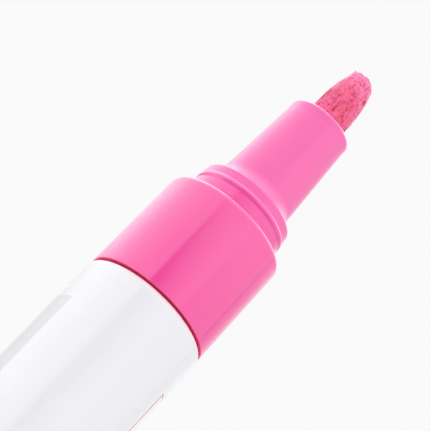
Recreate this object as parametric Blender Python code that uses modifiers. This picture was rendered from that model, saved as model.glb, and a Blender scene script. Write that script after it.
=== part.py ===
"""Valve-action paint marker without its cap, standing on its tail with the nib upwards.

Pressing the nib pushes a stem off its seat, and paint runs from the barrel into the nib.
Lengths are in metres. +Z runs along the marker from tail to nib, and the origin is the centre
of the flat tail face.
"""

import math

import bmesh
import bpy
from mathutils import Matrix, Vector

MM = 0.001

# Barrel, the paint reservoir
BARREL_RADIUS = 8.5 * MM
BARREL_WALL = 1.2 * MM
BARREL_LENGTH = 99.65 * MM
BARREL_EDGE_ROUND = 0.6 * MM
NECK_WALL = 1.2 * MM
NECK_LEAD_IN = 0.5 * MM

# Plug that closes the rear of the barrel
TAIL_HEIGHT = 5.5 * MM
TAIL_STEP = 0.25 * MM
TAIL_DRAFT = 0.3 * MM
TAIL_EDGE_ROUND = 1.0 * MM
TAIL_FLOOR = 2.2 * MM
TAIL_DISH_RADIUS = 4.6 * MM
TAIL_DISH_DEPTH = 0.5 * MM
SKIRT_LENGTH = 8.0 * MM
SKIRT_WALL = 1.2 * MM

# Snap beads that hold the plug and the front section on the barrel
BEAD_HEIGHT = 0.2 * MM
BEAD_LENGTH = 1.6 * MM
BEAD_CREST = 0.6 * MM
BEAD_OFFSET = 3.0 * MM

# Collar of the front section
COLLAR_STEP = 0.12 * MM
COLLAR_DRAFT = 0.2 * MM
COLLAR_LENGTH = 14.55 * MM
COLLAR_WALL = 1.5 * MM
COLLAR_RIM_ROUND = 0.12 * MM
SHOULDER_ROUND = 0.7 * MM
SHOULDER_WALL = 1.5 * MM

# Land that the cap seals on, rib that it snaps over, and band that leads it on
SEAL_LAND_RADIUS = 6.36 * MM
SEAL_LAND_LENGTH = 1.87 * MM
SEAL_LAND_DRAFT = 0.05 * MM
SEAL_LAND_WALL = 1.48 * MM
RIB_RISE = 0.21 * MM
RIB_REAR_RAMP = 0.38 * MM
RIB_CREST = 0.28 * MM
RIB_FRONT_RAMP = 0.24 * MM
RIB_ROUND = 0.15 * MM
LEAD_BAND_STEP = 0.14 * MM
LEAD_BAND_LENGTH = 1.33 * MM
LEAD_BAND_DRAFT = 0.08 * MM
LEAD_BAND_ROUND = 0.3 * MM

# Nozzle that guides the nib
NOZZLE_BASE_RADIUS = 4.97 * MM
NOZZLE_TIP_RADIUS = 4.3 * MM
NOZZLE_LENGTH = 14.15 * MM
NOZZLE_LAND = 1.4 * MM
NOZZLE_FLARE = 0.66 * MM
NOZZLE_FLARE_LENGTH = 1.35 * MM
NOZZLE_FLARE_ROUND = 4.0 * MM
NOZZLE_TIP_ROUND = 0.55 * MM
NOZZLE_BORE_ROUND = 0.2 * MM
NOZZLE_ROOF = 0.65 * MM
CHANNEL_COUNT = 6
CHANNEL_RADIUS = 0.5 * MM
CHANNEL_STOP = 3.0 * MM

# Bullet nib of pressed fibre
NIB_RADIUS = 2.5 * MM
NIB_EXPOSED = 8.5 * MM
NIB_STRAIGHT = 2.2 * MM
NIB_END_RADIUS = 1.2 * MM
NIB_END_ROUND = 0.7 * MM
NIB_REAR_ROUND = 0.4 * MM
NIB_SEAT_DEPTH = 1.0 * MM
PRESS_TRAVEL = 2.5 * MM
END_PLAY = 0.3 * MM

# Valve that the nib opens
FLANGE_THICKNESS = 2.0 * MM
FLANGE_ROUND = 0.3 * MM
HOUSING_WALL = 0.9 * MM
SEAT_WALL = 1.6 * MM
SEAL_THICKNESS = 0.8 * MM
SEAL_ROUND = 0.2 * MM
STEM_RADIUS = 1.25 * MM
STEM_END_ROUND = 0.25 * MM
FLUTE_COUNT = 4
FLUTE_RADIUS = 0.45 * MM
HEAD_GAP = 0.5 * MM
HEAD_THICKNESS = 1.2 * MM
HEAD_ROUND = 0.25 * MM
PIN_RADIUS = 0.8 * MM
PIN_ENGAGEMENT = 1.8 * MM
WINDOW_COUNT = 4
WINDOW_WIDTH = 1.7 * MM
WINDOW_SILL = 1.5 * MM
SPRING_LENGTH = 8.5 * MM
SPRING_RADIUS = 1.65 * MM
SPRING_WIRE_RADIUS = 0.25 * MM
SPRING_TURNS = 6.5
SPRING_END_TURNS = 1.0
SPRING_END_GAP = 0.45 * MM
RETAINER_PLUG = 2.0 * MM
RETAINER_FLANGE = 1.0 * MM
RETAINER_ROUND = 0.2 * MM

# Loose balls that stir the paint
BALL_RADIUS = 2.0 * MM
BALL_SPACING = 0.3 * MM

# Clearances
FIT_GAP = 0.12 * MM
SEAT_GAP = 0.15 * MM
PARTING_GAP = 0.3 * MM
NIB_GAP = 0.2 * MM
STEM_GAP = 0.25 * MM
PIN_GAP = 0.2 * MM
CUT_MARGIN = 0.5 * MM

# Fineness of round shapes
OUTER_FACETS = 40
INNER_FACETS = 32
STEM_FACETS = 24
ROD_SIDES = 10
BALL_SEGMENTS = 20
BALL_RINGS = 10
ARC_FACET = 0.22 * MM
ARC_LEAST_STEPS = 2
ARC_SHARE = 0.45
NIB_ARC_STEPS = 6
SPRING_TURN_POINTS = 10
SPRING_BEVEL_STEPS = 1
MERGE_DISTANCE = 0.001 * MM

# Radii that follow from the driving sizes
BARREL_BORE = BARREL_RADIUS - BARREL_WALL
COLLAR_REAR_RADIUS = BARREL_RADIUS - COLLAR_STEP
COLLAR_FRONT_RADIUS = COLLAR_REAR_RADIUS - COLLAR_DRAFT
COLLAR_BORE = COLLAR_FRONT_RADIUS - COLLAR_WALL
NECK_RADIUS = COLLAR_BORE - FIT_GAP
NECK_BORE = NECK_RADIUS - NECK_WALL
SKIRT_RADIUS = BARREL_BORE - FIT_GAP
TAIL_CUP_RADIUS = SKIRT_RADIUS - SKIRT_WALL
RIB_FOOT_RADIUS = SEAL_LAND_RADIUS - SEAL_LAND_DRAFT
RIB_RADIUS = RIB_FOOT_RADIUS + RIB_RISE
LEAD_BAND_RADIUS = RIB_RADIUS - LEAD_BAND_STEP
CHAMBER_RADIUS = SEAL_LAND_RADIUS - SEAL_LAND_WALL
NIB_BORE = NIB_RADIUS + NIB_GAP
HOUSING_RADIUS = NIB_BORE + HOUSING_WALL
SEAT_HOLE = STEM_RADIUS + STEM_GAP
HEAD_RADIUS = NIB_BORE - HEAD_GAP

# Heights above the collar's rear rim
RIB_FOOT = COLLAR_LENGTH + SEAL_LAND_LENGTH
RIB_CREST_REAR = RIB_FOOT + RIB_REAR_RAMP
RIB_CREST_FRONT = RIB_CREST_REAR + RIB_CREST
LEAD_BAND_BASE = RIB_CREST_FRONT + RIB_FRONT_RAMP
NOZZLE_BASE = LEAD_BAND_BASE + LEAD_BAND_LENGTH
NOZZLE_END = NOZZLE_BASE + NOZZLE_LENGTH
COLLAR_ROOF = COLLAR_LENGTH - SHOULDER_WALL
CHAMBER_TOP = NOZZLE_BASE - NOZZLE_ROOF
FLANGE_TOP = COLLAR_ROOF - SEAT_GAP

# Heights below the valve housing's top face
NIB_CUP_DEPTH = NIB_SEAT_DEPTH + PRESS_TRAVEL + END_PLAY
SEAT_UNDERSIDE = NIB_CUP_DEPTH + SEAT_WALL
SEAL_UNDERSIDE = SEAT_UNDERSIDE + SEAT_GAP + SEAL_THICKNESS
HEAD_TOP = SEAL_UNDERSIDE + SEAT_GAP
SPRING_TOP = HEAD_TOP + HEAD_THICKNESS + SEAT_GAP
RETAINER_TOP = SPRING_TOP + SPRING_LENGTH + SEAT_GAP
HOUSING_END = RETAINER_TOP + RETAINER_PLUG - SEAT_GAP
STEM_TOP = NIB_SEAT_DEPTH + SEAT_GAP

# Heights above the tail face
BARREL_BASE = TAIL_HEIGHT + SEAT_GAP
COLLAR_BASE = BARREL_BASE + BARREL_LENGTH + PARTING_GAP
HOUSING_TOP = COLLAR_BASE + FLANGE_TOP
NECK_LENGTH = PARTING_GAP + FLANGE_TOP - FLANGE_THICKNESS - SEAT_GAP

# Colours, in linear light
PINK = (0.93, 0.13, 0.40)
NIB_PINK = (0.90, 0.12, 0.24)
WHITE = (0.88, 0.88, 0.90)
NATURAL = (0.80, 0.79, 0.74)
FELT_WHITE = (0.78, 0.74, 0.72)
SEAL_GREY = (0.10, 0.10, 0.11)
STEEL = (0.60, 0.60, 0.62)


def principled(name, colour, roughness, metallic=0.0):
    material = bpy.data.materials.new(name)
    material.use_nodes = True
    shader = material.node_tree.nodes["Principled BSDF"]
    shader.inputs["Base Color"].default_value = (*colour, 1.0)
    shader.inputs["Roughness"].default_value = roughness
    shader.inputs["Metallic"].default_value = metallic
    return material


def round_corner(before, corner, after, radius):
    """Points of an arc that rounds a corner and takes up less than half of each edge."""
    back = before - corner
    ahead = after - corner
    half_angle = back.angle(ahead) / 2
    reach = min(radius / math.tan(half_angle), ARC_SHARE * min(back.length, ahead.length))
    radius = reach * math.tan(half_angle)
    bisector = (back.normalized() + ahead.normalized()).normalized()
    centre = corner + bisector * math.hypot(reach, radius)
    first = corner + back.normalized() * reach - centre
    last = corner + ahead.normalized() * reach - centre
    steps = max(ARC_LEAST_STEPS, round(radius * first.angle(last) / ARC_FACET))
    return [centre + first.slerp(last, step / steps) * radius for step in range(steps + 1)]


def outline(corners):
    """Points of an outline whose corners are (radius, height) or (radius, height, round)."""
    places = [Vector(corner[:2]) for corner in corners]
    points = []
    for index, corner in enumerate(corners):
        if len(corner) == 2:
            points.append(places[index])
        else:
            before = places[index - 1]
            after = places[(index + 1) % len(places)]
            points += round_corner(before, places[index], after, corner[2])
    return points


def bead(radius, height, rise):
    """Corners of a snap bead, or of the groove that takes it, from its upper to its lower end."""
    return [
        (radius, height + BEAD_LENGTH / 2),
        (radius + rise, height + BEAD_CREST / 2),
        (radius + rise, height - BEAD_CREST / 2),
        (radius, height - BEAD_LENGTH / 2),
    ]


def add_part(name, data, material, height):
    """Object for one sub-part, at its height on the marker's axis."""
    data.materials.append(material)
    part = bpy.data.objects.new(name, data)
    part.location.z = height
    part.parent = marker
    parts.objects.link(part)
    return part


def turned(name, corners, material, height, facets, closed=True):
    """Solid turned round the axis. An outline that starts and ends on the axis isn't closed."""
    points = outline(corners)
    last = len(points) - 1
    edges = [(index, index + 1) for index in range(last)]
    if closed:
        edges.append((last, 0))
    mesh = bpy.data.meshes.new(name)
    mesh.from_pydata([(radius, 0.0, rise) for radius, rise in points], edges, [])
    part = add_part(name, mesh, material, height)
    screw = part.modifiers.new("Turn", "SCREW")
    screw.steps = facets
    screw.render_steps = facets
    screw.use_merge_vertices = True
    screw.merge_threshold = MERGE_DISTANCE
    screw.use_smooth_shade = True
    return part


def add_cut(part, name, shape):
    """Cutter from a bmesh in the part's own frame, and the Boolean that cuts with it."""
    mesh = bpy.data.meshes.new(name)
    shape.to_mesh(mesh)
    shape.free()
    cutter = bpy.data.objects.new(name, mesh)
    cutter.parent = part
    cutter.hide_render = True
    cutter.display_type = "WIRE"
    cutters.objects.link(cutter)
    boolean = part.modifiers.new("Cut", "BOOLEAN")
    boolean.operation = "DIFFERENCE"
    boolean.solver = "EXACT"
    boolean.object = cutter


def ring_places(count, radius, height):
    """Transforms spread evenly round the axis, each at a radius and a height."""
    shift = Matrix.Translation((radius, 0.0, height))
    return [Matrix.Rotation(math.tau * index / count, 4, "Z") @ shift for index in range(count)]


def rods(count, ring_radius, rod_radius, low, high):
    """Straight rods that stand in a ring round the axis."""
    shape = bmesh.new()
    for place in ring_places(count, ring_radius, (low + high) / 2):
        bmesh.ops.create_cone(
            shape,
            cap_ends=True,
            segments=ROD_SIDES,
            radius1=rod_radius,
            radius2=rod_radius,
            depth=high - low,
            matrix=place,
        )
    return shape


def make_barrel():
    """White tube with a neck that goes inside the collar."""
    top = BARREL_LENGTH + NECK_LENGTH
    corners = [
        (NECK_RADIUS, top, NECK_LEAD_IN),
        *bead(NECK_RADIUS, BARREL_LENGTH + BEAD_OFFSET, BEAD_HEIGHT),
        (NECK_RADIUS, BARREL_LENGTH),
        (BARREL_RADIUS, BARREL_LENGTH, BARREL_EDGE_ROUND),
        (BARREL_RADIUS, 0.0, BARREL_EDGE_ROUND),
        (BARREL_BORE, 0.0),
        *reversed(bead(BARREL_BORE, BEAD_OFFSET, BEAD_HEIGHT)),
        (BARREL_BORE, BARREL_LENGTH - BARREL_WALL - (BARREL_BORE - NECK_BORE)),
        (NECK_BORE, BARREL_LENGTH - BARREL_WALL),
        (NECK_BORE, top),
    ]
    turned("barrel", corners, barrel_white, BARREL_BASE, OUTER_FACETS)


def make_tail_plug():
    """Plug with a flat, dished end and a skirt that snaps into the barrel."""
    edge = BARREL_RADIUS - TAIL_STEP
    skirt_top = BARREL_BASE + SKIRT_LENGTH
    corners = [
        (0.0, TAIL_FLOOR),
        (TAIL_CUP_RADIUS, TAIL_FLOOR, SKIRT_WALL / 2),
        (TAIL_CUP_RADIUS, skirt_top),
        (SKIRT_RADIUS, skirt_top, SKIRT_WALL / 2),
        *bead(SKIRT_RADIUS, BARREL_BASE + BEAD_OFFSET, BEAD_HEIGHT),
        (SKIRT_RADIUS, TAIL_HEIGHT),
        (edge, TAIL_HEIGHT, BARREL_EDGE_ROUND),
        (edge - TAIL_DRAFT, 0.0, TAIL_EDGE_ROUND),
        (TAIL_DISH_RADIUS, 0.0),
        (TAIL_DISH_RADIUS - TAIL_DISH_DEPTH, TAIL_DISH_DEPTH),
        (0.0, TAIL_DISH_DEPTH),
    ]
    turned("tail_plug", corners, section_pink, 0.0, OUTER_FACETS, closed=False)


def make_front_section():
    """Collar, cap land, snap rib and nozzle in one moulding, with feed channels along its bore."""
    corners = [
        (NOZZLE_TIP_RADIUS, NOZZLE_END, NOZZLE_TIP_ROUND),
        (NOZZLE_TIP_RADIUS, NOZZLE_END - NOZZLE_LAND),
        (NOZZLE_BASE_RADIUS, NOZZLE_BASE + NOZZLE_FLARE_LENGTH, NOZZLE_FLARE_ROUND),
        (NOZZLE_BASE_RADIUS + NOZZLE_FLARE, NOZZLE_BASE),
        (LEAD_BAND_RADIUS - LEAD_BAND_DRAFT, NOZZLE_BASE, LEAD_BAND_ROUND),
        (LEAD_BAND_RADIUS, LEAD_BAND_BASE),
        (RIB_RADIUS, RIB_CREST_FRONT, RIB_ROUND),
        (RIB_RADIUS, RIB_CREST_REAR, RIB_ROUND),
        (RIB_FOOT_RADIUS, RIB_FOOT),
        (SEAL_LAND_RADIUS, COLLAR_LENGTH),
        (COLLAR_FRONT_RADIUS, COLLAR_LENGTH, SHOULDER_ROUND),
        (COLLAR_REAR_RADIUS, 0.0, COLLAR_RIM_ROUND),
        (COLLAR_BORE, 0.0, COLLAR_RIM_ROUND),
        *reversed(bead(COLLAR_BORE, BEAD_OFFSET - PARTING_GAP, BEAD_HEIGHT)),
        (COLLAR_BORE, COLLAR_ROOF),
        (CHAMBER_RADIUS, COLLAR_ROOF),
        (CHAMBER_RADIUS, CHAMBER_TOP),
        (NIB_BORE, CHAMBER_TOP),
        (NIB_BORE, NOZZLE_END, NOZZLE_BORE_ROUND),
    ]
    part = turned("front_section", corners, section_pink, COLLAR_BASE, OUTER_FACETS)
    low = CHAMBER_TOP - CUT_MARGIN
    high = NOZZLE_END - CHANNEL_STOP
    add_cut(part, "feed_channels", rods(CHANNEL_COUNT, NIB_BORE, CHANNEL_RADIUS, low, high))


def make_nib():
    """Fibre rod whose front narrows in an arc to a blunt end. Its rear end is at height 0."""
    rear = FLANGE_TOP - NIB_SEAT_DEPTH
    tip = NOZZLE_END + NIB_EXPOSED - rear
    run = NIB_EXPOSED - NIB_STRAIGHT
    drop = NIB_RADIUS - NIB_END_RADIUS
    arc_radius = (run**2 + drop**2) / (2 * drop)
    sweep = math.asin(run / arc_radius)
    corners = [(0.0, tip), (NIB_END_RADIUS, tip, NIB_END_ROUND)]
    for step in range(NIB_ARC_STEPS - 1, -1, -1):
        angle = sweep * step / NIB_ARC_STEPS
        radius = NIB_RADIUS - arc_radius * (1 - math.cos(angle))
        corners.append((radius, tip - run + arc_radius * math.sin(angle)))
    corners += [(NIB_RADIUS, 0.0, NIB_REAR_ROUND), (0.0, 0.0)]
    turned("nib", corners, nib_fibre, COLLAR_BASE + rear, INNER_FACETS, closed=False)


def make_absorber_ring():
    """Felt ring in the chamber behind the nozzle, round the nib."""
    length = CHAMBER_TOP - FLANGE_TOP - 2 * SEAT_GAP
    outer = CHAMBER_RADIUS - FIT_GAP
    corners = [(outer, length), (outer, 0.0), (NIB_BORE, 0.0), (NIB_BORE, length)]
    turned("absorber_ring", corners, felt, HOUSING_TOP + SEAT_GAP, INNER_FACETS)


def make_valve_housing():
    """Flanged tube with a cup for the nib, a seat wall, and windows that let paint in."""
    flange = COLLAR_BORE - FIT_GAP
    corners = [
        (flange, 0.0, FLANGE_ROUND),
        (flange, -FLANGE_THICKNESS, FLANGE_ROUND),
        (HOUSING_RADIUS, -FLANGE_THICKNESS),
        (HOUSING_RADIUS, -HOUSING_END),
        (NIB_BORE, -HOUSING_END),
        (NIB_BORE, -SEAT_UNDERSIDE),
        (SEAT_HOLE, -SEAT_UNDERSIDE),
        (SEAT_HOLE, -NIB_CUP_DEPTH),
        (NIB_BORE, -NIB_CUP_DEPTH),
        (NIB_BORE, 0.0),
    ]
    part = turned("valve_housing", corners, natural_plastic, HOUSING_TOP, INNER_FACETS)
    top = SPRING_TOP + WINDOW_SILL
    low = RETAINER_TOP - WINDOW_SILL
    depth = HOUSING_WALL + 2 * CUT_MARGIN
    shape = bmesh.new()
    for place in ring_places(WINDOW_COUNT, NIB_BORE + HOUSING_WALL / 2, -(top + low) / 2):
        size = Matrix.Diagonal((depth, WINDOW_WIDTH, low - top, 1.0))
        bmesh.ops.create_cube(shape, size=1.0, matrix=place @ size)
    add_cut(part, "housing_windows", shape)


def make_seat_seal():
    """Elastic ring under the seat wall."""
    outer = NIB_BORE - FIT_GAP
    corners = [
        (outer, SEAL_THICKNESS, SEAL_ROUND),
        (outer, 0.0, SEAL_ROUND),
        (SEAT_HOLE, 0.0, SEAL_ROUND),
        (SEAT_HOLE, SEAL_THICKNESS, SEAL_ROUND),
    ]
    turned("seat_seal", corners, seal_rubber, HOUSING_TOP - SEAL_UNDERSIDE, INNER_FACETS)


def make_valve_stem():
    """Fluted rod under the nib, a head below the seat and a pin inside the spring."""
    rod_length = HEAD_TOP - STEM_TOP
    pin_end = RETAINER_TOP + PIN_ENGAGEMENT - HEAD_TOP
    corners = [
        (0.0, rod_length),
        (STEM_RADIUS, rod_length, STEM_END_ROUND),
        (STEM_RADIUS, 0.0),
        (HEAD_RADIUS, 0.0, HEAD_ROUND),
        (HEAD_RADIUS, -HEAD_THICKNESS, HEAD_ROUND),
        (PIN_RADIUS, -HEAD_THICKNESS),
        (PIN_RADIUS, -pin_end, STEM_END_ROUND),
        (0.0, -pin_end),
    ]
    height = HOUSING_TOP - HEAD_TOP
    part = turned("valve_stem", corners, natural_plastic, height, STEM_FACETS, closed=False)
    low = STEM_END_ROUND
    high = rod_length + CUT_MARGIN
    add_cut(part, "stem_flutes", rods(FLUTE_COUNT, STEM_RADIUS, FLUTE_RADIUS, low, high))


def spring_points():
    """Centre line of the spring, whose first and last turns lie closer together."""
    end_pitch = 2 * SPRING_WIRE_RADIUS + SPRING_END_GAP
    end_rise = SPRING_END_TURNS * end_pitch
    middle_rise = SPRING_LENGTH - 2 * SPRING_WIRE_RADIUS - 2 * end_rise
    middle_turns = SPRING_TURNS - 2 * SPRING_END_TURNS
    points = []
    for step in range(round(SPRING_TURNS * SPRING_TURN_POINTS) + 1):
        turn = step / SPRING_TURN_POINTS
        lower = min(turn, SPRING_END_TURNS)
        upper = max(turn - SPRING_END_TURNS - middle_turns, 0.0)
        middle = turn - lower - upper
        height = (lower + upper) * end_pitch + middle * middle_rise / middle_turns
        angle = math.tau * turn
        across = Vector((math.cos(angle), math.sin(angle), 0.0)) * SPRING_RADIUS
        points.append(across + Vector((0.0, 0.0, SPRING_WIRE_RADIUS + height)))
    return points


def least_gap(points):
    """Least gap between the wire and itself, over points at least half a turn apart."""
    apart = SPRING_TURN_POINTS // 2
    nearest = min(
        (first - second).length
        for index, first in enumerate(points)
        for second in points[index + apart :]
    )
    return nearest - 2 * SPRING_WIRE_RADIUS


def make_valve_spring():
    """Compression spring between the retainer and the stem's head."""
    points = spring_points()
    curve = bpy.data.curves.new("valve_spring", "CURVE")
    curve.dimensions = "3D"
    curve.bevel_depth = SPRING_WIRE_RADIUS
    curve.bevel_resolution = SPRING_BEVEL_STEPS
    curve.use_fill_caps = True
    wire = curve.splines.new("POLY")
    wire.points.add(len(points) - 1)
    for place, point in zip(wire.points, points):
        place.co = (*point, 1.0)
    add_part("valve_spring", curve, steel, HOUSING_TOP - SPRING_TOP - SPRING_LENGTH)
    print(f"valve_spring: least gap between turns {least_gap(points) / MM:.2f} mm")


def make_valve_retainer():
    """Plug in the end of the valve housing, bored for the stem's pin."""
    plug = NIB_BORE - FIT_GAP
    bore = PIN_RADIUS + PIN_GAP
    end = RETAINER_PLUG + RETAINER_FLANGE
    corners = [
        (plug, 0.0, RETAINER_ROUND),
        (plug, -RETAINER_PLUG),
        (HOUSING_RADIUS, -RETAINER_PLUG, RETAINER_ROUND),
        (HOUSING_RADIUS, -end, RETAINER_ROUND),
        (bore, -end),
        (bore, 0.0),
    ]
    height = HOUSING_TOP - RETAINER_TOP
    turned("valve_retainer", corners, natural_plastic, height, INNER_FACETS)


def make_mixing_balls():
    """Two steel balls, side by side on the floor of the tail plug."""
    offset = BALL_RADIUS + BALL_SPACING / 2
    for number, side in enumerate((1, -1), start=1):
        shape = bmesh.new()
        bmesh.ops.create_uvsphere(
            shape, u_segments=BALL_SEGMENTS, v_segments=BALL_RINGS, radius=BALL_RADIUS
        )
        name = f"mixing_ball_{number}"
        mesh = bpy.data.meshes.new(name)
        shape.to_mesh(mesh)
        shape.free()
        mesh.shade_smooth()
        ball = add_part(name, mesh, steel, TAIL_FLOOR + SEAT_GAP + BALL_RADIUS)
        ball.location.x = side * offset


for old in list(bpy.data.objects):
    bpy.data.objects.remove(old)

parts = bpy.data.collections.new("paint_marker")
cutters = bpy.data.collections.new("cutters")
bpy.context.scene.collection.children.link(parts)
bpy.context.scene.collection.children.link(cutters)
marker = bpy.data.objects.new("marker_axis", None)
parts.objects.link(marker)

barrel_white = principled("barrel_white", WHITE, 0.3)
section_pink = principled("section_pink", PINK, 0.25)
nib_fibre = principled("nib_fibre", NIB_PINK, 0.9)
natural_plastic = principled("natural_plastic", NATURAL, 0.45)
felt = principled("felt", FELT_WHITE, 0.95)
seal_rubber = principled("seal_rubber", SEAL_GREY, 0.7)
steel = principled("steel", STEEL, 0.25, metallic=1.0)

make_barrel()
make_tail_plug()
make_front_section()
make_nib()
make_absorber_ring()
make_valve_housing()
make_seat_seal()
make_valve_stem()
make_valve_spring()
make_valve_retainer()
make_mixing_balls()
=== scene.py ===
# %% [markdown]
# # Paint marker
# A paint marker holds liquid paint in its barrel. Pressing the fibre nib pushes a small valve open,
# and the paint runs into the nib. The CAD model gives the sizes, the bodies and the joints. This
# script keeps that frame fixed and dresses it: finer turned shapes, fibres, finishes and light.

# %% Load the frame
import math

import bmesh
import bpy
from mathutils import Matrix, Vector, noise


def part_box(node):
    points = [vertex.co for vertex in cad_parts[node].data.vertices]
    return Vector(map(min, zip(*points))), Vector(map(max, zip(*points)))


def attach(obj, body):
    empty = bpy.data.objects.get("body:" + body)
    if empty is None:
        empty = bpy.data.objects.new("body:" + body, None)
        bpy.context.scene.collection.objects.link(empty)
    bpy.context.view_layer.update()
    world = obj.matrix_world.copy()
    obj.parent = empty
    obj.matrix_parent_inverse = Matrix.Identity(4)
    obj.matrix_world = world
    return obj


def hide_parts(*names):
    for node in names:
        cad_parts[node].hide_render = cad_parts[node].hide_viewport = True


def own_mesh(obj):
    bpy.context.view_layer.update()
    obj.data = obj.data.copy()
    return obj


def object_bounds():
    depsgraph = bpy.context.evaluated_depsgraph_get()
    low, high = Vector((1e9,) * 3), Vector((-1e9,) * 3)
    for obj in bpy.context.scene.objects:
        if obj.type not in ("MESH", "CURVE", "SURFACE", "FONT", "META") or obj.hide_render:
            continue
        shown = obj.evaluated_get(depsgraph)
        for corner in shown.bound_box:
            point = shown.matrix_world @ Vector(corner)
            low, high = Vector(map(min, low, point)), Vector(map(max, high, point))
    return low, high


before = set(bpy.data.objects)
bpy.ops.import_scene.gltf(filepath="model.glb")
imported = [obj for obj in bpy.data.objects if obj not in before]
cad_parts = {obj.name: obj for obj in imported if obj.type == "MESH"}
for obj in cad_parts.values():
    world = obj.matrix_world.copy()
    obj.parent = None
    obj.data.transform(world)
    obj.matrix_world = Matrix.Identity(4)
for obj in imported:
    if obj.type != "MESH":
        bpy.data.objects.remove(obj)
cad_low, cad_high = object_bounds()
MM = 0.001
print("CAD nodes:", sorted(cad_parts))
print("CAD box in mm:", [round(side / MM, 2) for side in cad_high - cad_low])

# %% [markdown]
# ## Camera
# The marker stands upright on its tail, as its frame says, but the picture shows it slanting. So the
# camera is turned instead: it sits low in front of the marker, looks up along it, and is rolled
# sideways. A long lens keeps the sides of the barrel nearly parallel. The camera comes first, because
# every later choice of detail is made for what it sees.

# %% Camera
PICTURE_SIDE = 431
FOCAL_PIXELS = 2500
LOOK_UP = math.radians(22.8)
SLANT = math.radians(46.4)
AIM_HEIGHT = 122.1 * MM
AIM_PIXEL = (235.45, 215.45)
METRES_PER_PIXEL = 0.1183 * MM


def aim_camera():
    """Camera whose picture shows the axis point at AIM_HEIGHT at AIM_PIXEL."""
    forward = Vector((0.0, math.cos(LOOK_UP), math.sin(LOOK_UP)))
    level = Vector((1.0, 0.0, 0.0))
    rise = level.cross(forward)
    right = level * math.sin(SLANT) + rise * math.cos(SLANT)
    up = rise * math.sin(SLANT) - level * math.cos(SLANT)
    distance = FOCAL_PIXELS * METRES_PER_PIXEL
    across = (AIM_PIXEL[0] - PICTURE_SIDE / 2) * METRES_PER_PIXEL
    above = (PICTURE_SIDE / 2 - AIM_PIXEL[1]) * METRES_PER_PIXEL
    place = Vector((0.0, 0.0, AIM_HEIGHT)) - forward * distance - right * across - up * above
    lens = bpy.data.cameras.new("camera")
    lens.sensor_width = 36.0
    lens.lens = lens.sensor_width * FOCAL_PIXELS / PICTURE_SIDE
    lens.clip_start = 0.01
    camera = bpy.data.objects.new("camera", lens)
    turn = Matrix((right, up, -forward)).transposed()
    camera.matrix_world = Matrix.Translation(place) @ turn.to_4x4()
    bpy.context.scene.collection.objects.link(camera)
    bpy.context.scene.camera = camera
    return camera


camera = aim_camera()
bpy.context.scene.view_settings.view_transform = "Standard"
print("camera in mm:", [round(value / MM, 1) for value in camera.matrix_world.translation])

# %% [markdown]
# ## A short way to write node trees
# Shader and geometry trees are long lists of nodes and links when written one by one. Here a wire is
# an output socket that can stand in a Python sum: each operator adds one Math node. Every other node
# comes from add_node, which takes the type, then its settings, then what goes into its sockets.

# %% Wires


class Wire:
    """A number in a node tree, which can be added, multiplied and so on."""

    def __init__(self, socket):
        self.socket = socket
        self.tree = socket.id_data

    def math(self, operation, *others):
        """Wire of a new Math node that takes this wire and the others."""
        values = dict(enumerate((self, *others)))
        return Wire(add_node(self.tree, "ShaderNodeMath", {"operation": operation}, values).outputs[0])

    def __add__(self, other):
        return self.math("ADD", other)

    __radd__ = __add__

    def __sub__(self, other):
        return self.math("SUBTRACT", other)

    def __rsub__(self, other):
        return self * -1.0 + other

    def __mul__(self, other):
        return self.math("MULTIPLY", other)

    __rmul__ = __mul__

    def __truediv__(self, other):
        return self.math("DIVIDE", other)

    def step(self, start, end):
        """0 before start, 1 after end, and a smooth rise between them."""
        values = {"Value": self, "From Min": start, "From Max": end}
        settings = {"interpolation_type": "SMOOTHSTEP"}
        return Wire(add_node(self.tree, "ShaderNodeMapRange", settings, values).outputs[0])

    def band(self, start, end, soft):
        """1 between start and end, and 0 outside, with soft edges."""
        return self.step(start - soft, start + soft) * (1 - self.step(end - soft, end + soft))

    def blend(self, first, second):
        """A number that goes from first to second as this wire goes from 0 to 1."""
        return (second - first) * self + first

    def mix(self, first, second):
        """A colour that goes from first to second as this wire goes from 0 to 1."""
        values = {"Factor_Float": self, "A_Color": first, "B_Color": second}
        node = add_node(self.tree, "ShaderNodeMix", {"data_type": "RGBA"}, values)
        return Wire(find(node.outputs, "Result_Color"))


print("wires add Math nodes")

# %% Nodes


def find(sockets, key):
    """A socket by its place, or by its identifier, or by its name."""
    if isinstance(key, int):
        return sockets[key]
    return next((each for each in sockets if each.identifier == key), None) or sockets[key]


def feed(socket, value):
    """Links a wire to a socket, or sets the socket's own value."""
    if isinstance(value, Wire):
        socket.id_data.links.new(value.socket, socket)
    else:
        socket.default_value = value


def add_node(tree, kind, settings=None, values=None):
    """A new node: first its settings, then the wires or values of its sockets."""
    node = tree.nodes.new(kind)
    for key, value in (settings or {}).items():
        setattr(node, key, value)
    for key, value in (values or {}).items():
        feed(find(node.inputs, key), value)
    return node


def plain(colour):
    """A colour with its alpha, as a colour socket wants it."""
    return (*colour, 1.0)


print("add_node makes every other node")

# %% [markdown]
# ## Finishes
# Each finish is one Principled shader. What is the same all over, such as the sheen of the fibre or
# the strength of the gloss, is set on the shader. What changes over the surface, such as faint clouds
# in the colour or fine scuffs, comes from noise on Object coordinates. Every piece keeps its object at
# the origin, so those coordinates are places on the marker in metres.

# %% Starting a finish


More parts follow.
